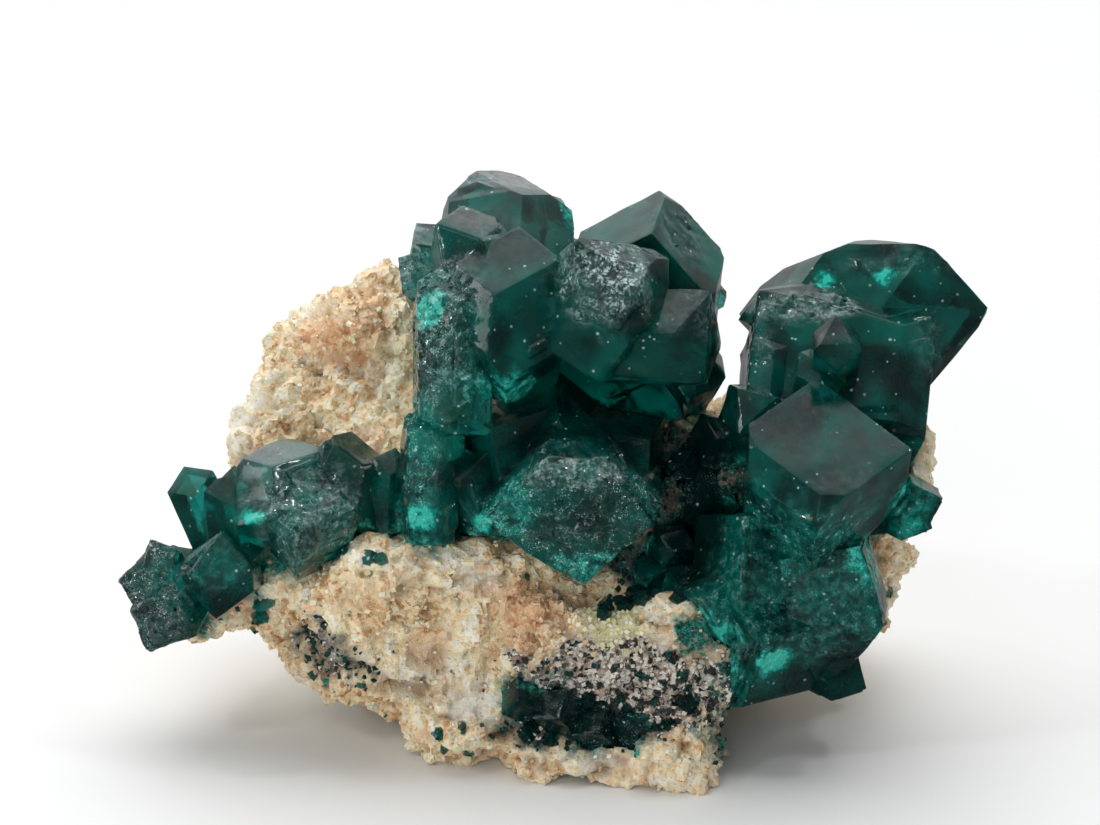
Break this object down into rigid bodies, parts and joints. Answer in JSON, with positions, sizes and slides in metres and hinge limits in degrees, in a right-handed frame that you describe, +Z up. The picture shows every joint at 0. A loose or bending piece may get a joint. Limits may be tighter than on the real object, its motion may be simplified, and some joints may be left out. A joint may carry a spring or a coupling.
{
  "type": "dioptase specimen",
  "caption": "Natural mineral specimen: dark emerald-green see-through crystals with flat faces and three-sided tips, grown over a rough lump of tan rock.",
  "frame": {"origin": "middle of the specimen's box, on the surface that the rock rests on", "axes": "+Z up; -Y is the showing side, where the crystals face the viewer; +X is to the viewer's right"},
  "size_m": [0.0418, 0.0212, 0.0258],
  "materials": {
    "dioptase": "dark emerald-green, see-through crystal with a glassy lustre, etched and whitish in places",
    "rock": "dull, granular tan to pinkish-brown carbonate rock with cream, greenish and dark purple patches"
  },
  "bodies": {
    "root": {"central_crystals": "dioptase", "right_crystals": "dioptase", "left_crystals": "dioptase", "lower_crystals": "dioptase", "matrix_rock": "rock"}
  },
  "joints": []
}
